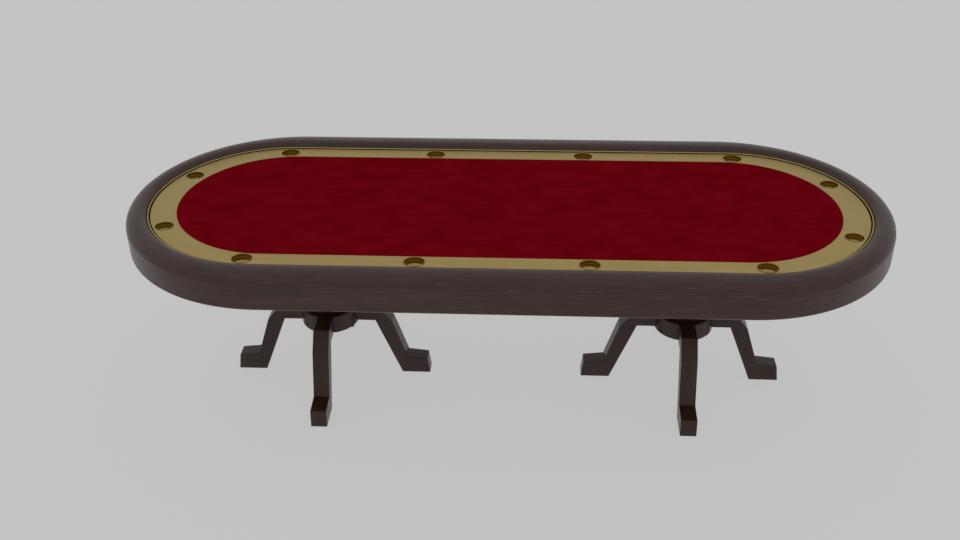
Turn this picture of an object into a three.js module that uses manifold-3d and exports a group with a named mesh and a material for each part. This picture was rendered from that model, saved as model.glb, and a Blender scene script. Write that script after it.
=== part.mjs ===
// Poker table on two pedestals. Millimetres, +Z up, origin on the floor under the middle of the
// table, +X along the table. The players' front side is -Y.
import * as THREE from 'three';
import { mergeVertices } from 'three/addons/utils/BufferGeometryUtils.js';
import { ParametricGeometry } from 'three/addons/geometries/ParametricGeometry.js';
import Module from 'manifold-3d';

const wasm = await Module();
wasm.setup();

// Driving dimensions
const gap = 0.3;                       // left between pieces that touch
const arcSteps = 20;                   // facets on each half-round end of the table
const far = 1500;                      // beyond the table every way, for the cutting blocks
const past = 1;                        // how far a cut runs on through the face it opens
const drumSides = { column: 32, hub: 40, cap: 32, well: 24, rod: 16, cup: 20 };

const feltOval = { straight: 815.5, radius: 378 };    // half the straight side, end radius
const trackInner = { straight: 815.5, radius: 378.4 };
const trackOuter = { straight: 841.6, radius: 446 };
const beadInner = { straight: 841.6, radius: 451.2 };
const railInner = { straight: 841.6, radius: 456.7 };
const railOuter = { straight: 803.8, radius: 568 };

const glideHeight = 3;
const railBottomZ = 638.5;             // lower edge of the apron
const deckTopZ = 713;
const deckThickness = 18;
const trackTopZ = 743;
const beadTopZ = 747;
const crestZ = 763;                    // highest line of the armrest
const feltTopZ = 741.7;
const feltThickness = 1.5;
const foamThickness = 6;

const railInnerZ = 739;                // where the armrest meets the bead
const railShoulderZ = 726;             // where the crown runs into the upright wall
const crestShare = 0.317;              // place of the crest across the armrest, 0 inside, 1 outside
const apronThickness = 31;
const sectionJointX = 600;             // butt joints between the side and end sections

const cupAcross = 30;                  // half the oval opening, measured along Y
const cupStretch = 1.13;               // how much longer the opening is along X
const endCupSize = 0.93;               // the end cup holders against those on the sides
const cupDepth = 12;
const cupWall = 1.2;
const cupPlay = 0.5;                   // left round a cup holder in its hole
const cupFlange = 3;
const cupFlangeThickness = 1;
const cupSideX = [290, 869];           // along each side, both ways from the middle
const cupEnd = [1196, 199];            // centre of an end cup holder, in X and Y

const pedestalX = 678;
const hubRadius = 109.5;
const hubBottomZ = 235;
const legTopZ = 306;                   // top of the hub and of the leg arms
const armBottomZ = 245;
const legWidth = 60;
const legInnerReach = 62;
const legPlay = 0.4;                   // left on each side of a leg arm in its notch
const columnRadius = 87;
const rodRadius = 8;
const nutRadius = 15;                  // to the corners
const nutHeight = 13;
const nutWellRadius = 24;
const nutWellDepth = 24;
const capRadius = 36;
const capThickness = 4;
const glideRadius = 18;
const plateSize = 380;
const beamSize = 45;
const beamY = 250;
const beamLength = 2120;

const table = new THREE.Group();

const espresso = { color: 0x3a2c29, roughness: 0.42, metalness: 0 };
const goldLacquer = { color: 0x9a8a55, roughness: 0.38, metalness: 0.7 };
const cupBrass = { color: 0x9c8745, roughness: 0.3, metalness: 0.9 };
const redFelt = { color: 0x6a0410, roughness: 0.95, metalness: 0 };
const foam = { color: 0xd8d2c0, roughness: 0.95, metalness: 0 };
const birchPly = { color: 0xc4a572, roughness: 0.7, metalness: 0 };
const beamPine = { color: 0xb8935c, roughness: 0.75, metalness: 0 };
const zincSteel = { color: 0xa9adb0, roughness: 0.35, metalness: 1 };
const blackRubber = { color: 0x1b1b1b, roughness: 0.8, metalness: 0 };

function addPiece(name, geometry, finish, parent = table) {
  const mesh = new THREE.Mesh(geometry, new THREE.MeshStandardMaterial(finish));
  mesh.name = name;
  parent.add(mesh);
  return mesh;
}

// Solids for joining and cutting

function toSolid(geometry) {
  const bare = geometry.clone();
  bare.deleteAttribute('normal');
  bare.deleteAttribute('uv');
  const merged = mergeVertices(bare, 1e-3);
  return new wasm.Manifold(new wasm.Mesh({
    numProp: 3,
    vertProperties: new Float32Array(merged.attributes.position.array),
    triVerts: new Uint32Array(merged.index.array),
  }));
}

function toGeometry(solid) {
  const mesh = solid.getMesh();
  const geometry = new THREE.BufferGeometry();
  geometry.setAttribute('position', new THREE.BufferAttribute(mesh.vertProperties, 3));
  geometry.setIndex(new THREE.BufferAttribute(mesh.triVerts, 1));
  geometry.computeVertexNormals();
  return geometry;
}

function block(x0, x1, y0, y1, z0, z1) {
  const geometry = new THREE.BoxGeometry(x1 - x0, y1 - y0, z1 - z0);
  geometry.translate((x0 + x1) / 2, (y0 + y1) / 2, (z0 + z1) / 2);
  return geometry;
}

function roundBar(radius, z0, z1, sides) {
  const geometry = new THREE.CylinderGeometry(radius, radius, z1 - z0, sides);
  geometry.rotateX(Math.PI / 2);
  geometry.translate(0, 0, (z0 + z1) / 2);
  return geometry;
}

// Shapes that follow the oval of the table

function ovalShape({ straight, radius }) {
  const shape = new THREE.Shape();
  shape.absarc(straight, 0, radius, -Math.PI / 2, Math.PI / 2, false);
  shape.absarc(-straight, 0, radius, Math.PI / 2, Math.PI * 1.5, false);
  shape.closePath();
  return shape;
}

function ovalSlab(oval, z0, z1) {
  const settings = { depth: z1 - z0, bevelEnabled: false, curveSegments: arcSteps / 2 };
  const geometry = new THREE.ExtrudeGeometry(ovalShape(oval), settings);
  geometry.translate(0, 0, z0);
  return geometry;
}

// A ring round the table. Each corner of its section runs round an oval of its own.
function ovalRing(section) {
  const around = 2 * (arcSteps + 1);
  const place = (u, v, target) => {
    const corner = section[Math.round(u * section.length) % section.length];
    const step = Math.round(v * around) % around;
    const onRight = step <= arcSteps;
    const angle = -Math.PI / 2 + Math.PI * (onRight ? step : step - 1) / arcSteps;
    const centre = onRight ? corner.straight : -corner.straight;
    target.set(centre + corner.radius * Math.cos(angle), corner.radius * Math.sin(angle), corner.z);
  };
  return new ParametricGeometry(place, section.length, around);
}

function between(inner, outer, share, z) {
  return {
    straight: THREE.MathUtils.lerp(inner.straight, outer.straight, share),
    radius: THREE.MathUtils.lerp(inner.radius, outer.radius, share),
    z,
  };
}

// Cuts a ring into a front, a back and two end sections with butt joints.
function addSections(name, ring, finish) {
  const joint = sectionJointX;
  const cutters = {
    front: block(-joint + gap / 2, joint - gap / 2, -far, 0, 0, far),
    back: block(-joint + gap / 2, joint - gap / 2, 0, far, 0, far),
    left_end: block(-far, -joint - gap / 2, -far, far, 0, far),
    right_end: block(joint + gap / 2, far, -far, far, 0, far),
  };
  for (const [side, cutter] of Object.entries(cutters)) {
    addPiece(`${name}_${side}`, toGeometry(ring.intersect(toSolid(cutter))), finish);
  }
}

// Armrest: a crowned top that runs into an upright apron, one L-shaped section

function armrestSection() {
  const crownSteps = 5;
  const apronShare = 1 - apronThickness / (railOuter.radius - railInner.radius);
  const onRail = (share, z) => between(railInner, railOuter, share, z);
  const section = [onRail(0, deckTopZ + gap), onRail(0, railInnerZ)];
  const rise = crestZ - railInnerZ;
  for (let i = 1; i <= 3; i++) {
    const turn = (i / 3) * Math.PI / 2;
    section.push(onRail(crestShare * (1 - Math.cos(turn)), railInnerZ + rise * Math.sin(turn)));
  }
  const drop = crestZ - railShoulderZ;
  for (let i = 1; i <= crownSteps; i++) {
    const turn = (i / crownSteps) * Math.PI / 2;
    const share = crestShare + (1 - crestShare) * Math.sin(turn);
    section.push(onRail(share, railShoulderZ + drop * Math.cos(turn)));
  }
  section.push(onRail(1, railBottomZ));
  section.push(onRail(apronShare, railBottomZ));
  section.push(onRail(apronShare, deckTopZ + gap));
  return section;
}

addSections('armrest', toSolid(ovalRing(armrestSection())), espresso);

// Gold bead that stands against the armrest, in two lengths that meet at the ends

function beadSection() {
  const outer = { straight: railInner.straight, radius: railInner.radius - gap };
  const middle = between(beadInner, outer, 0.5, beadTopZ);
  const shoulderZ = beadTopZ - 2;
  return [
    between(beadInner, outer, 0, deckTopZ + gap),
    between(beadInner, outer, 0, shoulderZ),
    middle,
    between(beadInner, outer, 1, shoulderZ),
    between(beadInner, outer, 1, deckTopZ + gap),
  ];
}

const bead = toSolid(ovalRing(beadSection()));
const halfTable = { front: [-far, -gap / 2], back: [gap / 2, far] };
for (const [side, [y0, y1]] of Object.entries(halfTable)) {
  const half = bead.intersect(toSolid(block(-far, far, y0, y1, 0, far)));
  addPiece(`bead_${side}`, toGeometry(half), goldLacquer);
}

// Where the cup holders stand: four along each side and two at each end

const trackMiddle = between(trackInner, trackOuter, 0.5, 0);

function cupPlaces() {
  const places = [];
  for (const [side, sign] of [['front', -1], ['back', 1]]) {
    const alongSide = [-cupSideX[1], -cupSideX[0], cupSideX[0], cupSideX[1]];
    alongSide.forEach((x, i) => {
      const pastStraight = Math.max(0, Math.abs(x) - trackMiddle.straight);
      const y = Math.sqrt(trackMiddle.radius ** 2 - pastStraight ** 2);
      places.push({ name: `cup_${side}_${i + 1}`, x, y: sign * y, size: 1 });
    });
  }
  for (const [end, signX] of [['left', -1], ['right', 1]]) {
    for (const [side, signY] of [['front', -1], ['back', 1]]) {
      places.push({
        name: `cup_${end}_${side}`,
        x: signX * cupEnd[0],
        y: signY * cupEnd[1],
        size: endCupSize,
      });
    }
  }
  return places;
}

const cups = cupPlaces();

function cupHole(size) {
  const radius = cupAcross + cupWall + cupPlay;
  const hole = roundBar(radius, deckTopZ - past, trackTopZ + past, drumSides.cup);
  hole.scale(cupStretch * size, size, 1);
  return hole;
}

function cupShape(size) {
  const outside = cupAcross + cupWall;
  const rim = cupAcross + cupFlange;
  const flangeZ = trackTopZ + gap;
  const lipZ = flangeZ + cupFlangeThickness;
  const floorZ = trackTopZ - cupDepth;
  const profile = [
    [0, floorZ - cupWall], [outside - 2, floorZ - cupWall], [outside, floorZ + 1],
    [outside, flangeZ], [rim, flangeZ], [rim, lipZ], [cupAcross, lipZ],
    [cupAcross - 0.5, floorZ + 1.5], [cupAcross - 2, floorZ], [0, floorZ],
  ];
  const points = profile.map(([radius, z]) => new THREE.Vector2(radius, z));
  const cup = new THREE.LatheGeometry(points, drumSides.cup);
  cup.rotateX(Math.PI / 2);
  cup.scale(cupStretch * size, size, 1);
  return cup;
}

// Racetrack ring with a through hole for each cup holder

function racetrackRing() {
  const section = [
    { ...trackInner, z: deckTopZ + gap },
    { ...trackInner, z: trackTopZ },
    { ...trackOuter, z: trackTopZ },
    { ...trackOuter, z: deckTopZ + gap },
  ];
  let ring = toSolid(ovalRing(section));
  for (const { x, y, size } of cups) {
    const hole = cupHole(size);
    hole.translate(x, y, 0);
    ring = ring.subtract(toSolid(hole));
  }
  return ring;
}

addSections('racetrack', racetrackRing(), goldLacquer);

for (const { name, x, y, size } of cups) {
  addPiece(name, cupShape(size), cupBrass).position.set(x, y, 0);
}

// Playing field: felt on foam on a board

const foamTopZ = feltTopZ - feltThickness - gap;
const foamBottomZ = foamTopZ - foamThickness;
addPiece('felt_cloth', ovalSlab(feltOval, foamTopZ + gap, feltTopZ), redFelt);
addPiece('foam_pad', ovalSlab(feltOval, foamBottomZ, foamTopZ), foam);
addPiece('playing_board', ovalSlab(feltOval, deckTopZ + gap, foamBottomZ - gap), birchPly);

// Deck in two halves under everything, inside the apron

const deckOval = between(
  railInner, railOuter, 1 - (apronThickness + 1) / (railOuter.radius - railInner.radius), 0);
const deck = toSolid(ovalSlab(deckOval, deckTopZ - deckThickness, deckTopZ));
for (const [side, x0, x1] of [['left', -far, -gap / 2], ['right', gap / 2, far]]) {
  const half = deck.intersect(toSolid(block(x0, x1, -far, far, 0, far)));
  addPiece(`deck_${side}`, toGeometry(half), birchPly);
}

// Underframe: two long beams and three cross battens under the deck

const underDeckZ = deckTopZ - deckThickness - gap;
for (const [side, sign] of [['front', -1], ['back', 1]]) {
  const y = sign * beamY;
  const beam = block(
    -beamLength / 2, beamLength / 2, y - beamSize / 2, y + beamSize / 2,
    underDeckZ - beamSize, underDeckZ);
  addPiece(`beam_${side}`, beam, beamPine);
}
const battenReach = beamY - beamSize / 2 - gap;
const battenX = { left: -1000, middle: 0, right: 1000 };
for (const [place, x] of Object.entries(battenX)) {
  const batten = block(
    x - beamSize / 2, x + beamSize / 2, -battenReach, battenReach,
    underDeckZ - beamSize, underDeckZ);
  addPiece(`batten_${place}`, batten, beamPine);
}

// Pedestals

const footToe = [382, glideHeight];
const footTop = [373, 68];
const shankFoot = [295, 77];
const kneeLow = [243, 237];
const kneeHigh = [192, legTopZ];
const kneeInside = [176.5, armBottomZ];
const footHeel = [272, glideHeight];

function legShape() {
  const outline = new THREE.Shape();
  outline.moveTo(legInnerReach, armBottomZ);
  for (const [reach, z] of [kneeInside, footHeel, footToe, footTop, shankFoot, kneeLow, kneeHigh]) {
    outline.lineTo(reach, z);
  }
  outline.lineTo(legInnerReach, legTopZ);
  outline.closePath();
  const leg = new THREE.ExtrudeGeometry(outline, { depth: legWidth, bevelEnabled: false });
  leg.translate(0, 0, -legWidth / 2);
  leg.rotateX(Math.PI / 2);
  return leg;
}

// Hub: a drum with four open notches that the leg arms drop into, a bore for the rod and a
// well under it for the nut
const nutSeatZ = hubBottomZ + nutWellDepth;
function hubShape() {
  const hub = toSolid(roundBar(hubRadius, hubBottomZ, legTopZ, drumSides.hub));
  const cuts = [
    roundBar(rodRadius + 1, hubBottomZ - past, legTopZ + past, drumSides.rod),
    roundBar(nutWellRadius, hubBottomZ - past, nutSeatZ, drumSides.well),
  ];
  for (let i = 0; i < 4; i++) {
    const notch = block(
      legInnerReach - legPlay, hubRadius + past, -legWidth / 2 - legPlay, legWidth / 2 + legPlay,
      armBottomZ - gap, legTopZ + past);
    cuts.push(notch.rotateZ(i * Math.PI / 2));
  }
  return toGeometry(cuts.reduce((solid, cut) => solid.subtract(toSolid(cut)), hub));
}

function boredBar(radius, bore, z0, z1, sides) {
  const points = [[bore, z0], [radius, z0], [radius, z1], [bore, z1], [bore, z0]];
  const tube = new THREE.LatheGeometry(points.map(([r, z]) => new THREE.Vector2(r, z)), sides);
  tube.rotateX(Math.PI / 2);
  return tube;
}

function nutShape() {
  const hexagon = toSolid(roundBar(nutRadius, nutSeatZ - gap - nutHeight, nutSeatZ - gap, 6));
  const bore = toSolid(roundBar(rodRadius + gap, hubBottomZ, legTopZ, drumSides.rod));
  return toGeometry(hexagon.subtract(bore));
}

const plateThickness = 18;
const plateBottomZ = underDeckZ - plateThickness;
const legSides = { right: 0, back: 90, left: 180, front: 270 };

function addPedestal(end, x) {
  const pedestal = new THREE.Group();
  pedestal.position.x = x;
  table.add(pedestal);

  const plate = toSolid(block(
    -plateSize / 2, plateSize / 2, -plateSize / 2, plateSize / 2, plateBottomZ, underDeckZ));
  const rodHole = toSolid(
    roundBar(rodRadius + gap, plateBottomZ - past, underDeckZ + past, drumSides.rod));
  addPiece(`${end}_top_plate`, toGeometry(plate.subtract(rodHole)), birchPly, pedestal);

  const column = boredBar(
    columnRadius, rodRadius + 2, legTopZ + gap, plateBottomZ - gap, drumSides.column);
  addPiece(`${end}_column`, column, espresso, pedestal);
  addPiece(`${end}_hub`, hubShape(), espresso, pedestal);

  const rod = roundBar(rodRadius, hubBottomZ + 6, underDeckZ, drumSides.rod);
  addPiece(`${end}_tie_rod`, rod, zincSteel, pedestal);
  addPiece(`${end}_rod_nut`, nutShape(), zincSteel, pedestal);
  const capTopZ = hubBottomZ - gap;
  const cap = roundBar(capRadius, capTopZ - capThickness, capTopZ, drumSides.cap);
  addPiece(`${end}_hub_cap`, cap, espresso, pedestal);

  for (const [side, degrees] of Object.entries(legSides)) {
    const quarter = new THREE.Group();
    quarter.rotation.z = THREE.MathUtils.degToRad(degrees);
    pedestal.add(quarter);
    addPiece(`${end}_leg_${side}`, legShape(), espresso, quarter);
    const glide = roundBar(glideRadius, 0, glideHeight - gap, drumSides.rod);
    glide.translate((footToe[0] + footHeel[0]) / 2, 0, 0);
    addPiece(`${end}_glide_${side}`, glide, blackRubber, quarter);
  }
}

addPedestal('left', -pedestalX);
addPedestal('right', pedestalX);

export default table;
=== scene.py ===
import math

import bmesh
import bpy
from mathutils import Matrix, Vector


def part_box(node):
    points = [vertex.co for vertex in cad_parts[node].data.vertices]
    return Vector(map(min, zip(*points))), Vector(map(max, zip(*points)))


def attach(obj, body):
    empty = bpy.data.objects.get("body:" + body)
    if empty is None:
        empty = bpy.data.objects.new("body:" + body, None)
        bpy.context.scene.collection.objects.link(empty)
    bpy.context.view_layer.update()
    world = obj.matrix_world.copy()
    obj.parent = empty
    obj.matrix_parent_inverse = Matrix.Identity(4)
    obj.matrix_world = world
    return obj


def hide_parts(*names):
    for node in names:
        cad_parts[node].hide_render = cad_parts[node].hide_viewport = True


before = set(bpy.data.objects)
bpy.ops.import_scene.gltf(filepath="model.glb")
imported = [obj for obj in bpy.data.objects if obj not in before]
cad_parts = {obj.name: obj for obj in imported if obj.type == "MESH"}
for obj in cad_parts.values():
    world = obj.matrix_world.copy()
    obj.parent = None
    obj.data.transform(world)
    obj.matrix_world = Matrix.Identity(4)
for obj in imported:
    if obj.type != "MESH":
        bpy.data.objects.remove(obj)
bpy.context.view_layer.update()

scene = bpy.context.scene
tableBody = "table"
halfTurn = Matrix.Rotation(math.pi, 4, "Z")


def lowCorner(node):
    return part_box(node)[0]


def highCorner(node):
    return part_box(node)[1]


# Camera

camera = {"lens": 41.01, "sensor": 36.0, "place": (0.1131, -3.4995, 2.6048),
          "turn": 3.425, "down": 31.42, "tilt": -0.723}     # degrees


def addCamera():
    data = bpy.data.cameras.new("camera")
    data.lens, data.sensor_width = camera["lens"], camera["sensor"]
    data.clip_end = 100
    holder = bpy.data.objects.new("camera", data)
    scene.collection.objects.link(holder)
    turned = Matrix.Rotation(math.radians(camera["turn"]), 4, "Z")
    lowered = Matrix.Rotation(math.pi / 2 - math.radians(camera["down"]), 4, "X")
    tilted = Matrix.Rotation(math.radians(camera["tilt"]), 4, "Z")
    holder.matrix_world = Matrix.Translation(camera["place"]) @ turned @ lowered @ tilted
    scene.camera = holder


addCamera()
print("camera placed")


# Materials: a few shared steps, then one function for each finish

def linear(hexColour):
    channels = [int(hexColour[i:i + 2], 16) / 255 for i in (1, 3, 5)]
    return [c / 12.92 if c <= 0.04045 else ((c + 0.055) / 1.055) ** 2.4 for c in channels] + [1]


def addNode(tree, kind, settings=(), links=()):
    node = tree.nodes.new("ShaderNode" + kind)
    for key, value in dict(settings).items():
        if isinstance(key, int) or key in node.inputs:
            node.inputs[key].default_value = value
        else:
            setattr(node, key, value)
    for key, socket in dict(links).items():
        tree.links.new(socket, node.inputs[key])
    return node


def newMaterial(name, settings):
    material = bpy.data.materials.new(name)
    material.use_nodes = True
    tree = material.node_tree
    tree.nodes.clear()
    shader = addNode(tree, "BsdfPrincipled", settings)
    addNode(tree, "OutputMaterial", links={"Surface": shader.outputs["BSDF"]})
    return material, tree, shader


# cloudy pattern whose patches have a real size in metres; low and high set its contrast
def patches(tree, source, size, detail=2.0, low=0.35, high=0.65):
    placed = addNode(tree, "Mapping", {"Scale": [1 / s for s in size]}, {"Vector": source})
    noise = addNode(tree, "TexNoise", {"Scale": 1.0, "Detail": detail},
                    {"Vector": placed.outputs[0]})
    return addNode(tree, "MapRange", {"From Min": low, "From Max": high},
                   {"Value": noise.outputs[0]}).outputs[0]


def blendColours(tree, share, first, second):
    node = addNode(tree, "Mix", {"data_type": "RGBA"}, {0: share})
    for slot, colour in ((6, first), (7, second)):
        if isinstance(colour, str):
            node.inputs[slot].default_value = linear(colour)
        else:
            tree.links.new(colour, node.inputs[slot])
    return node.outputs[2]


def ranged(tree, share, low, high):
    return addNode(tree, "MapRange", {"To Min": low, "To Max": high}, {"Value": share}).outputs[0]


def scaled(tree, share, amount):
    return addNode(tree, "Math", {"operation": "MULTIPLY", 1: amount}, {0: share}).outputs[0]


def sourceOf(tree, attribute):
    if attribute:
        return addNode(tree, "Attribute", {"attribute_name": attribute}).outputs["Vector"]
    return addNode(tree, "TexCoord").outputs["Object"]


# Beech stained espresso under satin lacquer: near-black brown, sparse paler flecks along the grain,
# a soft grey shine where it is seen at a low angle; the legs' tones are a painted shade, darker for
# the shade under the table, and they reflect less
espresso = {"railTones": ("#361f1a", "#432823", "#735a52"),
            "legTones": ("#29160f", "#3a231c", "#4c322b"),
            "shade": "#2a1613", "fleck": (0.11, 0.0028), "board": (0.5, 0.06),
            "pore": (0.03, 0.0012), "railIor": 1.48, "legIor": 1.45}


def espressoWood(name, part, attribute=None, upright=False):
    material, tree, shader = newMaterial(name, {"IOR": espresso[part + "Ior"]})
    dark, light, paleFleck = espresso[part + "Tones"]
    source = sourceOf(tree, attribute)

    def sized(pair):
        return (pair[1], pair[1], pair[0]) if upright else (pair[0], pair[1], pair[1])

    fleck = patches(tree, source, sized(espresso["fleck"]), 2, 0.58, 0.72)
    board = patches(tree, source, sized(espresso["board"]), 2, 0.3, 0.7)
    pore = patches(tree, source, sized(espresso["pore"]), 1, 0.52, 0.66)   # drawn coarse to show
    stained = blendColours(tree, board, dark, light)
    flecked = blendColours(tree, scaled(tree, fleck, 0.45), stained, paleFleck)
    colour = blendColours(tree, scaled(tree, pore, 0.3), flecked, espresso["shade"])
    tree.links.new(colour, shader.inputs["Base Color"])
    tree.links.new(ranged(tree, fleck, 0.32, 0.42), shader.inputs["Roughness"])
    relief = addNode(tree, "Bump", {"Strength": 0.25, "Distance": 0.0003, "invert": True},
                     {"Height": pore})
    tree.links.new(relief.outputs[0], shader.inputs["Normal"])
    return material


# Brass sheet with a gold tint, brushed along the ring and lacquered: soft even shine, faint
# streaks along the brushing
def goldSheet():
    material, tree, shader = newMaterial("brushedGoldBrass", {"Metallic": 1.0})
    source = sourceOf(tree, "alongGrain")
    brushing = patches(tree, source, (0.12, 0.0022, 0.0022), 3, 0.3, 0.7)    # drawn coarse to show
    cloud = patches(tree, source, (0.16, 0.05, 0.05), 2, 0.3, 0.7)
    tinted = blendColours(tree, cloud, "#b49b5d", "#b9a164")
    colour = blendColours(tree, scaled(tree, brushing, 0.35), tinted, "#c0aa74")
    tree.links.new(colour, shader.inputs["Base Color"])
    tree.links.new(ranged(tree, brushing, 0.30, 0.40), shader.inputs["Roughness"])
    relief = addNode(tree, "Bump", {"Strength": 0.12, "Distance": 0.0002}, {"Height": brushing})
    tree.links.new(relief.outputs[0], shader.inputs["Normal"])
    return material


# Polished brass rod, gold tinted: brighter than the sheet, with a little handling haze
def goldRod():
    material, tree, shader = newMaterial("polishedGoldBrass", {"Metallic": 1.0})
    source = sourceOf(tree, None)
    haze = patches(tree, source, (0.03, 0.03, 0.03), 3)
    tree.links.new(blendColours(tree, haze, "#c3b27c", "#b8a66c"), shader.inputs["Base Color"])
    tree.links.new(ranged(tree, haze, 0.2, 0.3), shader.inputs["Roughness"])
    return material


# Spun brass: the flat floor and the flange are polished like a mirror; the wall between them carries
# painted shade, a darker, browner tone for the shade inside the cup, which the mirror floor shows
# again as a dark reflection; fine turning marks
polished = {"aboveBottom": 0.0016, "belowTop": 0.0021, "blend": 0.0008}    # limits of the dark wall


def spunBrass():
    material, tree, shader = newMaterial("polishedSpunBrass", {"Metallic": 1.0})
    source = sourceOf(tree, None)
    marks = patches(tree, source, (0.02, 0.02, 0.0009), 2)
    spots = patches(tree, source, (0.006, 0.006, 0.006), 3, 0.45, 0.7)
    height = addNode(tree, "SeparateXYZ", links={"Vector": source}).outputs["Z"]
    shadedWallFrom = lowCorner("cup_front_2").z + polished["aboveBottom"]
    shadedWallTo = highCorner("cup_front_2").z - polished["belowTop"]
    aboveFloor = addNode(tree, "MapRange", {
        "From Min": shadedWallFrom, "From Max": shadedWallFrom + polished["blend"]},
        {"Value": height}).outputs[0]
    belowLip = addNode(tree, "MapRange", {
        "From Min": shadedWallTo + polished["blend"], "From Max": shadedWallTo},
        {"Value": height}).outputs[0]
    wall = addNode(tree, "Math", {"operation": "MULTIPLY"}, {0: aboveFloor, 1: belowLip}).outputs[0]
    bright = blendColours(tree, spots, "#b09453", "#a38642")
    # painted shade: the cup's inner wall is darkened for the shade that falls inside the recess
    dark = blendColours(tree, spots, "#82682c", "#755b22")
    tree.links.new(blendColours(tree, wall, bright, dark), shader.inputs["Base Color"])
    tree.links.new(ranged(tree, spots, 0.08, 0.16), shader.inputs["Roughness"])
    relief = addNode(tree, "Bump", {"Strength": 0.08, "Distance": 0.0001}, {"Height": marks})
    tree.links.new(relief.outputs[0], shader.inputs["Normal"])
    return material


# Red wool billiard felt: matt deep red, cloudy where the nap lies differently, faint paler
# streaks along the cloth
def redFelt():
    material, tree, shader = newMaterial("redWoolFelt", {
        "Specular IOR Level": 0.0, "Sheen Weight": 0.06, "Sheen Roughness": 0.5,
        "Sheen Tint": linear("#c23a44"), "Roughness": 1.0})
    source = sourceOf(tree, None)
    nap = patches(tree, source, (0.09, 0.06, 0.06), 4, 0.3, 0.7)
    streak = patches(tree, source, (0.14, 0.0035, 0.0035), 2, 0.5, 0.75)
    fibre = patches(tree, source, (0.004, 0.004, 0.004), 2, 0.25, 0.75)      # drawn coarse to show
    colour = blendColours(tree, nap, "#72030e", "#850618")
    colour = blendColours(tree, scaled(tree, streak, 0.42), colour, "#95192b")
    colour = blendColours(tree, scaled(tree, fibre, 0.25), colour, "#68020c")
    tree.links.new(colour, shader.inputs["Base Color"])
    relief = addNode(tree, "Bump", {"Strength": 0.3, "Distance": 0.0004}, {"Height": fibre})
    tree.links.new(relief.outputs[0], shader.inputs["Normal"])
    return material


# Closed-cell foam sheet: off-white, matt, finely pitted
def foamSheet():
    material, tree, shader = newMaterial("closedCellFoam", {"Roughness": 0.95})
    cells = patches(tree, sourceOf(tree, None), (0.002, 0.002, 0.002), 2)
    tree.links.new(blendColours(tree, cells, "#d9d3c4", "#c9c2b0"), shader.inputs["Base Color"])
    relief = addNode(tree, "Bump", {"Strength": 0.4, "Distance": 0.0004}, {"Height": cells})
    tree.links.new(relief.outputs[0], shader.inputs["Normal"])
    return material


# Birch plywood: pale veneer with long grain; its layers show as thin bands on cut edges
def birchPly():
    material, tree, shader = newMaterial("birchPlywood", {"Roughness": 0.62})
    source = sourceOf(tree, None)
    grain = patches(tree, source, (0.16, 0.006, 0.5), 3)
    cloud = patches(tree, source, (0.5, 0.12, 0.5), 2)
    veneer = blendColours(tree, grain, "#caa774", "#b8905c")
    veneer = blendColours(tree, scaled(tree, cloud, 0.4), veneer, "#a97f4e")
    height = addNode(tree, "SeparateXYZ", links={"Vector": source}).outputs["Z"]
    layer = addNode(tree, "Math", {"operation": "PINGPONG", 1: 0.0015}, {0: height}).outputs[0]
    band = addNode(tree, "MapRange", {"From Min": 0.0006, "From Max": 0.0009},
                   {"Value": layer}).outputs[0]
    tree.links.new(blendColours(tree, scaled(tree, band, 0.45), veneer, "#8a6238"),
                   shader.inputs["Base Color"])
    relief = addNode(tree, "Bump", {"Strength": 0.2, "Distance": 0.0003}, {"Height": grain})
    tree.links.new(relief.outputs[0], shader.inputs["Normal"])
    return material


# Planed pine: warm yellow with darker growth lines along each bar
def planedPine(name, alongY=False):
    material, tree, shader = newMaterial(name, {"Roughness": 0.6})
    source = sourceOf(tree, None)
    size = (0.009, 0.35, 0.009) if alongY else (0.35, 0.009, 0.009)
    growth = patches(tree, source, size, 2, 0.4, 0.6)
    tree.links.new(blendColours(tree, growth, "#cfa771", "#a97a45"), shader.inputs["Base Color"])
    relief = addNode(tree, "Bump", {"Strength": 0.2, "Distance": 0.0003}, {"Height": growth})
    tree.links.new(relief.outputs[0], shader.inputs["Normal"])
    return material


# Zinc-plated steel: cool grey with a cloudy, slightly yellow passivation
def zincSteel():
    material, tree, shader = newMaterial("zincPlatedSteel", {"Metallic": 1.0})
    cloud = patches(tree, sourceOf(tree, None), (0.008, 0.008, 0.012), 3)
    tree.links.new(blendColours(tree, cloud, "#b9bcbe", "#aca88f"), shader.inputs["Base Color"])
    tree.links.new(ranged(tree, cloud, 0.28, 0.45), shader.inputs["Roughness"])
    return material


# Black moulded rubber: dull, a little dusty
def blackRubber():
    material, tree, shader = newMaterial("mouldedRubber", {"Roughness": 0.75})
    dust = patches(tree, sourceOf(tree, None), (0.006, 0.006, 0.006), 3, 0.4, 0.8)
    tree.links.new(blendColours(tree, dust, "#191919", "#3b3936"), shader.inputs["Base Color"])
    return material


railWood = espressoWood("espressoBeechRail", "rail", attribute="alongGrain")
# painted shade: the pedestal wood's tones are darkened for the shade under the table
shadedLegWood = espressoWood("espressoBeechLegShaded", "leg", upright=True)
goldTrack, goldBead, cupBrass = goldSheet(), goldRod(), spunBrass()
feltCloth, foamPad, plywood = redFelt(), foamSheet(), birchPly()
beamPine, battenPine = planedPine("planedPineAlong"), planedPine("planedPineAcross", alongY=True)
zinc, rubber = zincSteel(), blackRubber()
print("materials made")


# Shared modelling steps

shaping = {"roundSegments": 4, "easeSegments": 3, "sweepDegrees": 1.5, "turnSteps": 96,
           "sharpAngle": 32}


# a flat closed outline from corners (x, y, z, rounding)
def drawOutline(bm, corners):
    drawn = [bm.verts.new(corner[:3]) for corner in corners]
    bm.faces.new(drawn)
    for rounding in sorted({corner[3] for corner in corners} - {0}):
        chosen = [v for v, corner in zip(drawn, corners) if corner[3] == rounding]
        bmesh.ops.bevel(bm, geom=chosen, offset=rounding, offset_type="OFFSET",
                        segments=shaping["roundSegments"], profile=0.5, affect="VERTICES",
                        material=-1)


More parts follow.
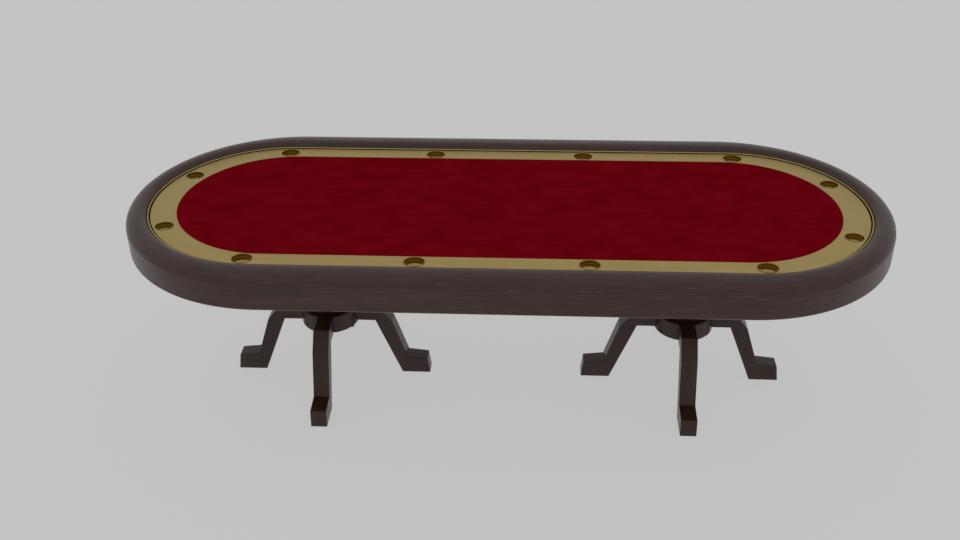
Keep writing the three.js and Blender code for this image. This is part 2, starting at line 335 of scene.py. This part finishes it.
# edges among the new geometry, without those that lead back to the old
def freshEdges(geometry):
    fresh = {v for v in geometry if isinstance(v, bmesh.types.BMVert)}
    return [e for e in geometry if isinstance(e, bmesh.types.BMEdge) and set(e.verts) <= fresh]


# carries an outline along straight runs and turns round (centre x, degrees)
def sweep(bm, edges, path):
    for kind, *values in path:
        if kind == "run":
            made = bmesh.ops.extrude_edge_only(bm, edges=edges)["geom"]
            moved = [v for v in made if isinstance(v, bmesh.types.BMVert)]
            bmesh.ops.translate(bm, vec=(values[0], 0, 0), verts=moved)
        else:
            centre, degrees = values
            made = bmesh.ops.spin(bm, geom=edges, cent=(centre, 0, 0), axis=(0, 0, 1),
                                  angle=math.radians(degrees),
                                  steps=round(abs(degrees) / shaping["sweepDegrees"]))["geom_last"]
        edges = freshEdges(made)
    bmesh.ops.edgeloop_fill(bm, edges=edges)


# a piece of a ring: an outline of (radius, z, rounding) at startX on the front side, swept
def ringPiece(outline, startX, *paths):
    bm = bmesh.new()
    drawOutline(bm, [(startX, -radius, z, rounding) for radius, z, rounding in outline])
    start = bm.edges[:]
    if len(paths) > 1:
        bmesh.ops.delete(bm, geom=bm.faces[:], context="FACES_ONLY")
    for path in paths:
        sweep(bm, start, path)
    bmesh.ops.remove_doubles(bm, verts=bm.verts[:], dist=1e-6)
    bmesh.ops.recalc_face_normals(bm, faces=bm.faces[:])
    return bm


# turns an outline of (radius, z, rounding) round the Z axis
def turnedPiece(outline, steps=shaping["turnSteps"]):
    bm = bmesh.new()
    drawOutline(bm, [(radius, 0, z, rounding) for radius, z, rounding in outline])
    onAxis = [e for e in bm.edges if all(v.co.x < 1e-6 for v in e.verts)]
    bmesh.ops.delete(bm, geom=bm.faces[:], context="FACES_ONLY")
    bmesh.ops.delete(bm, geom=onAxis, context="EDGES_FACES")
    bmesh.ops.spin(bm, geom=bm.verts[:] + bm.edges[:], cent=(0, 0, 0), axis=(0, 0, 1),
                   angle=2 * math.pi, steps=steps, use_merge=True)
    bmesh.ops.remove_doubles(bm, verts=bm.verts[:], dist=1e-6)
    bmesh.ops.recalc_face_normals(bm, faces=bm.faces[:])
    return bm


def place(bm, x=0.0, y=0.0, turn=0.0):
    bmesh.ops.transform(bm, matrix=Matrix.Translation((x, y, 0)) @ Matrix.Rotation(turn, 4, "Z"),
                        verts=bm.verts[:])
    return bm


def asObject(name, bm):
    mesh = bpy.data.meshes.new(name)
    bm.to_mesh(mesh)
    bm.free()
    piece = bpy.data.objects.new(name, mesh)
    scene.collection.objects.link(piece)
    return piece


# cuts the tools out of the stock
def carve(bm, tools):
    stock = asObject("stock", bm)
    cutters = [asObject("cutter", tool) for tool in tools]
    for cutter in cutters:
        cut = stock.modifiers.new("cut", "BOOLEAN")
        cut.operation, cut.solver, cut.object = "DIFFERENCE", "EXACT", cutter
    result = bmesh.new()
    result.from_object(stock, bpy.context.evaluated_depsgraph_get())
    for used in [stock] + cutters:
        bpy.data.objects.remove(used)
    return result


def finishPiece(name, bm, material, nodes, body=tableBody):
    piece = asObject(name, bm)
    piece.data.materials.append(material)
    piece.data.polygons.foreach_set("use_smooth", [True] * len(piece.data.polygons))
    piece.data.set_sharp_from_angle(angle=math.radians(shaping["sharpAngle"]))
    weighted = piece.modifiers.new("evenShading", "WEIGHTED_NORMAL")
    weighted.keep_sharp = True
    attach(piece, body)
    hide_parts(*nodes)
    return piece


# the CAD shape with its edges eased
def easedPiece(name, node, width, material, leastAngle=10):
    bm = bmesh.new()
    bm.from_mesh(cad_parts[node].data)
    bmesh.ops.remove_doubles(bm, verts=bm.verts[:], dist=1e-5)
    bmesh.ops.dissolve_limit(bm, angle_limit=math.radians(1), verts=bm.verts[:], edges=bm.edges[:])
    corners = [e for e in bm.edges if e.calc_face_angle(0) > math.radians(leastAngle)]
    bmesh.ops.bevel(bm, geom=corners, offset=width, offset_type="OFFSET",
                    segments=shaping["easeSegments"], profile=0.5, affect="EDGES",
                    clamp_overlap=True, material=-1)
    return finishPiece(name, bm, material, [node])


def keepNode(node, material):
    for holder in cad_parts[node].material_slots:
        holder.material = material


# Ovals of the table: half the straight side, and the end radius

def oval(sideNode, endNode, outside):
    radius = -lowCorner(sideNode).y if outside else -highCorner(sideNode).y
    return {"straight": highCorner(endNode).x - radius, "radius": radius}


railOuter = oval("armrest_front", "armrest_right_end", True)
trackOuter = oval("racetrack_front", "racetrack_right_end", True)
railInner = {"straight": trackOuter["straight"], "radius": -highCorner("armrest_front").y}
feltRadius = highCorner("felt_cloth").y
feltOval = {"straight": highCorner("felt_cloth").x - feltRadius, "radius": feltRadius}
trackInner = {"straight": feltOval["straight"], "radius": -highCorner("racetrack_front").y}

joints = {"x": 0.600, "gap": 0.00005}      # butt joints between side and end sections


# moves a ring's inner and outer edges onto their own ovals
def followOvals(bm, inner, outer):
    drawn = inner["straight"]
    for v in bm.verts:
        radius = math.hypot(max(0.0, abs(v.co.x) - drawn), v.co.y)
        share = (radius - inner["radius"]) / (outer["radius"] - inner["radius"])
        shift = share * (outer["straight"] - drawn)
        reach = (abs(v.co.x) - joints["x"]) / (drawn - joints["x"])
        v.co.x += shift * math.copysign(min(max(reach, 0.0), 1.0), v.co.x)


# distance along the ring, across it and up, so that grain and brushing run round the ends
def markGrain(bm, inner, outer):
    straight = (inner["straight"] + outer["straight"]) / 2
    layer = bm.verts.layers.float_vector.new("alongGrain")
    quarter = outer["radius"] * math.pi / 2
    for v in bm.verts:
        beyond = max(0.0, abs(v.co.x) - straight)
        along = min(abs(v.co.x), straight) + outer["radius"] * math.atan2(beyond, abs(v.co.y))
        if v.co.y > 0:
            along = 2 * (straight + quarter) - along
        v[layer] = (math.copysign(along, v.co.x), math.hypot(beyond, v.co.y), v.co.z)


# front and right-end sections, and the same two turned half round for the back and the left end
def addSections(label, outline, inner, outer, material, holes=()):
    drawn, near = inner["straight"], joints["x"] - joints["gap"]
    far = joints["x"] + joints["gap"]
    run = drawn - far
    front = ringPiece(outline, -near, [("run", 2 * near)])
    end = ringPiece(outline, far, [("run", run), ("turn", drawn, 180), ("run", -run)])
    for side, turned, bm in (("front", "back", front), ("right_end", "left_end", end)):
        followOvals(bm, inner, outer)
        if holes:
            bm = carve(bm, holes[side])
        markGrain(bm, inner, outer)
        opposite = bm.copy()
        bmesh.ops.transform(opposite, matrix=halfTurn, verts=opposite.verts[:])
        for name, shape in ((side, bm), (turned, opposite)):
            node = f"{label}_{name}"
            pieceName = label + name.title().replace("_", "")
            finishPiece(pieceName, shape, material, [node])


# Armrest: crowned top that runs into an upright apron

armrest = {"innerZ": 0.739, "shoulderZ": 0.726, "crest": 0.317, "apron": 0.031,
           "chamfer": 0.005, "chamferEdge": 0.0006, "insideEdge": 0.0015, "deckGap": 0.0003,
           "innerSteps": 7, "outerSteps": 14}


def armrestOutline():
    low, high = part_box("armrest_front")
    inner, width = railInner["radius"], railOuter["radius"] - railInner["radius"]
    deckZ = highCorner("deck_left").z + armrest["deckGap"]
    crest = inner + width * armrest["crest"]
    outline = [(inner, deckZ, 0)]
    for i in range(armrest["innerSteps"]):
        angle = i / armrest["innerSteps"] * math.pi / 2
        outline.append((crest - (crest - inner) * math.cos(angle),
                        armrest["innerZ"] + (high.z - armrest["innerZ"]) * math.sin(angle), 0))
    for i in range(armrest["outerSteps"] + 1):
        angle = i / armrest["outerSteps"] * math.pi / 2
        outline.append((crest + (inner + width - crest) * math.sin(angle),
                        armrest["shoulderZ"] + (high.z - armrest["shoulderZ"]) * math.cos(angle), 0))
    apron = inner + width - armrest["apron"]
    outer, chamfer, edge = inner + width, armrest["chamfer"], armrest["chamferEdge"]
    outline += [(outer, low.z + chamfer, edge), (outer - chamfer, low.z, edge),
                (apron, low.z, armrest["insideEdge"]), (apron, deckZ, 0)]
    return outline


addSections("armrest", armrestOutline(), railInner, railOuter, railWood)
print("armrest made")


# Cup holders: shallow oval brass dishes with a thin flange, each on its own lift-out body

cup = {"wall": 0.0012, "flange": 0.003, "lip": 0.001, "lipRound": 0.0022, "floorFillet": 0.0004,
       "taper": 0.0005, "footStep": 0.0015, "footRise": 0.002, "footRound": 0.001,
       "rimUnder": 0.0002, "rimRound": 0.0005, "play": 0.0005, "holeStretch": 1.5, "steps": 64}
cupNodes = [f"cup_{side}_{i}" for side in ("front", "back") for i in (1, 2, 3, 4)]
cupNodes += [f"cup_{end}_{side}" for end in ("left", "right") for side in ("front", "back")]


# draws a round shape out into the oval of one cup holder and sets it in its place
def ovalInPlace(bm, node):
    low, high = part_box(node)
    half, middle = (high - low) / 2, (high + low) / 2
    bmesh.ops.scale(bm, vec=(half.x / half.y, 1, 1), verts=bm.verts[:])
    return place(bm, middle.x, middle.y)


def cupShape(node):
    low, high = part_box(node)
    rim, flangeZ = (high.y - low.y) / 2, high.z - cup["lip"]
    opening, floorZ = rim - cup["flange"], low.z + cup["wall"]
    outside = opening + cup["wall"]
    bm = turnedPiece([
        (0, low.z, 0), (outside - cup["footStep"], low.z, cup["footRound"]),
        (outside, low.z + cup["footRise"], cup["footRound"]), (outside, flangeZ, 0),
        (rim, flangeZ, cup["rimUnder"]), (rim, high.z, cup["rimRound"]),
        (opening, high.z, cup["lipRound"]),
        (opening - cup["taper"], floorZ, cup["floorFillet"]), (0, floorZ, 0)], cup["steps"])
    return ovalInPlace(bm, node)


def cupHole(node):
    low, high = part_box(node)
    ringLow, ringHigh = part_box("racetrack_front")
    radius = (high.y - low.y) / 2 - cup["flange"] + cup["wall"] + cup["play"]
    bm = bmesh.new()
    bmesh.ops.create_cone(bm, cap_ends=True, segments=cup["steps"], radius1=radius, radius2=radius,
                          depth=(ringHigh.z - ringLow.z) * cup["holeStretch"])
    bmesh.ops.translate(bm, vec=(0, 0, (ringHigh.z + ringLow.z) / 2), verts=bm.verts[:])
    return ovalInPlace(bm, node)


for node in cupNodes:
    side = node.replace("cup_", "").title().replace("_", "")
    finishPiece("cupHolder" + side, cupShape(node), cupBrass, [node], body=node)
print("cup holders made")


# Racetrack: flat gold ring with a hole for each cup holder

track = {"edge": 0.0008}


def trackOutline():
    low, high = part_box("racetrack_front")
    inner, outer = trackInner["radius"], trackOuter["radius"]
    return [(inner, low.z, 0), (inner, high.z, track["edge"]), (outer, high.z, track["edge"]),
            (outer, low.z, 0)]


trackHoles = {
    "front": [cupHole(node) for node in ("cup_front_2", "cup_front_3")],
    "right_end": [cupHole(node) for node in
                  ("cup_front_4", "cup_back_4", "cup_right_front", "cup_right_back")]}
addSections("racetrack", trackOutline(), trackInner, trackOuter, goldTrack,
            trackHoles)
print("racetrack made")


# Bead: a round-topped gold strip that stands between racetrack and armrest

bead = {"groove": 0.0052, "round": 0.0022}


def addBead():
    low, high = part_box("bead_front")
    inner, outer = trackOuter["radius"] + bead["groove"], -low.y
    outline = [(inner, low.z, 0), (inner, high.z, bead["round"]), (outer, high.z, bead["round"]),
               (outer, low.z, 0)]
    straight = railInner["straight"]
    joint = math.degrees(joints["gap"] / outer)
    front = ringPiece(outline, -straight, [("turn", -straight, joint - 90)],
                      [("run", 2 * straight), ("turn", straight, 90 - joint)])
    back = front.copy()
    bmesh.ops.transform(back, matrix=halfTurn, verts=back.verts[:])
    finishPiece("beadFront", front, goldBead, ["bead_front"])
    finishPiece("beadBack", back, goldBead, ["bead_back"])


addBead()
print("bead made")


# Playing field: felt stretched over a foam pad and rolled down round its edge

felt = {"thickness": 0.0015, "roll": 0.0018, "skirt": 0.0054, "rollSteps": 4,
        "columns": 120, "rows": 72}
foam = {"inset": 0.0018, "edge": 0.0022, "steps": 128}


def addFelt():
    top, straight = highCorner("felt_cloth").z, feltOval["straight"]
    flatRadius = feltOval["radius"] - felt["roll"]
    bm = bmesh.new()
    bmesh.ops.create_grid(bm, x_segments=felt["columns"], y_segments=felt["rows"], size=1)
    for v in bm.verts:
        angle = v.co.y * math.pi / 2
        reach = straight + flatRadius * math.cos(angle)
        v.co = (v.co.x * reach, flatRadius * math.sin(angle), top)
    edges = [e for e in bm.edges if e.is_boundary]
    reached, dropped = 0.0, 0.0
    for i in range(1, felt["rollSteps"] + 2):
        angle = min(i / felt["rollSteps"], 1) * math.pi / 2
        out, down = felt["roll"] * math.sin(angle), felt["roll"] * (1 - math.cos(angle))
        if i > felt["rollSteps"]:
            down += felt["skirt"]
        made = bmesh.ops.extrude_edge_only(bm, edges=edges)["geom"]
        for v in (v for v in made if isinstance(v, bmesh.types.BMVert)):
            centre = math.copysign(straight, v.co.x) if abs(v.co.x) > straight else v.co.x
            away = Vector((v.co.x - centre, v.co.y, 0)).normalized()
            v.co += away * (out - reached) - Vector((0, 0, down - dropped))
        edges = freshEdges(made)
        reached, dropped = out, down
    bmesh.ops.recalc_face_normals(bm, faces=bm.faces[:])
    if bm.faces[0].normal.z < 0:
        bmesh.ops.reverse_faces(bm, faces=bm.faces[:])
    bmesh.ops.solidify(bm, geom=bm.faces[:], thickness=felt["thickness"])
    cloth = finishPiece("feltCloth", bm, feltCloth, ["felt_cloth"])


def addFoam():
    low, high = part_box("foam_pad")
    radius, straight = feltOval["radius"] - foam["inset"], feltOval["straight"]
    outline = [(0, low.z, 0), (radius, low.z, 0), (radius, high.z, foam["edge"]), (0, high.z, 0)]
    bm = turnedPiece(outline, foam["steps"])
    bmesh.ops.bisect_plane(bm, geom=bm.verts[:] + bm.edges[:] + bm.faces[:], dist=1e-6,
                           plane_co=(0, 0, 0), plane_no=(1, 0, 0), clear_inner=True)
    bmesh.ops.translate(bm, vec=(straight, 0, 0), verts=bm.verts[:])
    cutEdges = [e for e in bm.edges if e.is_boundary]
    made = bmesh.ops.extrude_edge_only(bm, edges=cutEdges)["geom"]
    for v in (v for v in made if isinstance(v, bmesh.types.BMVert)):
        v.co.x = 0
    bmesh.ops.mirror(bm, geom=bm.verts[:] + bm.edges[:] + bm.faces[:], matrix=Matrix.Identity(4),
                     merge_dist=1e-5, axis="X")
    bmesh.ops.remove_doubles(bm, verts=bm.verts[:], dist=1e-6)
    bmesh.ops.recalc_face_normals(bm, faces=bm.faces[:])
    finishPiece("foamPad", bm, foamPad, ["foam_pad"])


addFoam()
addFelt()
print("felt and foam made")


# Pedestals: four cranked legs let into a round hub, a column, a top plate, a tie rod

pedestal = {"armHeight": 0.061, "armReach": 0.062, "armWidth": 0.060, "play": 0.0004,
            "hubEdge": 0.003, "bore": 0.009, "nutBore": 0.024, "nutDepth": 0.024,
            "columnBore": 0.010, "columnEdge": 0.0015, "legEdge": 0.0025, "plateEdge": 0.0015,
            "capEdge": 0.0015, "glideEdge": 0.0008, "wellEdge": 0.0008, "overcut": 0.01,
            "capSteps": 64, "glideSteps": 48, "plateLeastAngle": 30}


def blockShape(low, high):
    bm = bmesh.new()
    bmesh.ops.create_cube(bm, size=1)
    bmesh.ops.scale(bm, vec=Vector(high) - Vector(low), verts=bm.verts[:])
    bmesh.ops.translate(bm, vec=(Vector(high) + Vector(low)) / 2, verts=bm.verts[:])
    return bm


def hubShape(low, high):
    radius, play = (high.x - low.x) / 2, pedestal["play"]
    seat = low.z + pedestal["nutDepth"]
    bm = turnedPiece([
        (pedestal["bore"], seat, 0), (pedestal["nutBore"], seat, 0),
        (pedestal["nutBore"], low.z, pedestal["wellEdge"]), (radius, low.z, pedestal["hubEdge"]),
        (radius, high.z, pedestal["hubEdge"]), (pedestal["bore"], high.z, 0)])
    notches = []
    for i in range(4):
        notch = blockShape(
            (pedestal["armReach"] - play, -pedestal["armWidth"] / 2 - play,
             high.z - pedestal["armHeight"] - play),
            (radius + pedestal["overcut"], pedestal["armWidth"] / 2 + play,
             high.z + pedestal["overcut"]))
        notches.append(place(notch, turn=i * math.pi / 2))
    return carve(bm, notches)


def addPedestal(end):
    low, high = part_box(f"{end}_hub")
    x = (low.x + high.x) / 2
    hub = place(hubShape(low, high), x)
    finishPiece(end + "Hub", hub, shadedLegWood, [f"{end}_hub"])

    low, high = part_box(f"{end}_column")
    radius = (high.x - low.x) / 2
    column = turnedPiece([
        (pedestal["columnBore"], low.z, 0), (radius, low.z, pedestal["columnEdge"]),
        (radius, high.z, pedestal["columnEdge"]), (pedestal["columnBore"], high.z, 0)])
    finishPiece(end + "Column", place(column, x), shadedLegWood, [f"{end}_column"])

    low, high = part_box(f"{end}_hub_cap")
    radius = (high.x - low.x) / 2
    cap = turnedPiece([(0, low.z, 0), (radius, low.z, pedestal["capEdge"]), (radius, high.z, 0),
                       (0, high.z, 0)], pedestal["capSteps"])
    finishPiece(end + "HubCap", place(cap, x), shadedLegWood, [f"{end}_hub_cap"])

    easedPiece(end + "TopPlate", f"{end}_top_plate", pedestal["plateEdge"], plywood,
               pedestal["plateLeastAngle"])
    for side in ("right", "back", "left", "front"):
        easedPiece(end + "Leg" + side.title(), f"{end}_leg_{side}", pedestal["legEdge"], shadedLegWood)
        low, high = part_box(f"{end}_glide_{side}")
        radius = (high.x - low.x) / 2
        glide = turnedPiece([(0, low.z, 0), (radius, low.z, pedestal["glideEdge"]),
                             (radius, high.z, 0), (0, high.z, 0)], pedestal["glideSteps"])
        place(glide, (low.x + high.x) / 2, (low.y + high.y) / 2)
        finishPiece(end + "Glide" + side.title(), glide, rubber, [f"{end}_glide_{side}"])
    keepNode(f"{end}_tie_rod", zinc)
    keepNode(f"{end}_rod_nut", zinc)


for end in ("left", "right"):
    addPedestal(end)
print("pedestals made")


# Underframe

underframe = {"edge": 0.002}
for side in ("front", "back"):
    easedPiece("beam" + side.title(), f"beam_{side}", underframe["edge"], beamPine)
for spot in ("left", "middle", "right"):
    easedPiece("batten" + spot.title(), f"batten_{spot}", underframe["edge"], battenPine)
for node in ("playing_board", "deck_left", "deck_right"):
    keepNode(node, plywood)
print("underframe made")


# Room: even grey daylight from all round and a pale floor of the same brightness

room = {"grey": 0.552, "floorPaint": 0.12, "floorSize": 80.0}


def addRoom():
    world = bpy.data.worlds.new("daylight")
    world.use_nodes = True
    backdrop = world.node_tree.nodes["Background"]
    backdrop.inputs["Color"].default_value = [room["grey"]] * 3 + [1]
    scene.world = world
    scene.view_settings.view_transform = "Standard"
    glow = room["grey"] * (1 - room["floorPaint"])
    material = newMaterial("paleFloor", {
        "Base Color": [room["floorPaint"]] * 3 + [1], "Specular IOR Level": 0.0, "Roughness": 1.0,
        "Emission Color": [1, 1, 1, 1], "Emission Strength": glow})[0]
    bm = bmesh.new()
    bmesh.ops.create_grid(bm, x_segments=1, y_segments=1, size=room["floorSize"] / 2)
    floor = asObject("floor", bm)
    floor.data.materials.append(material)


addRoom()
print("room made")
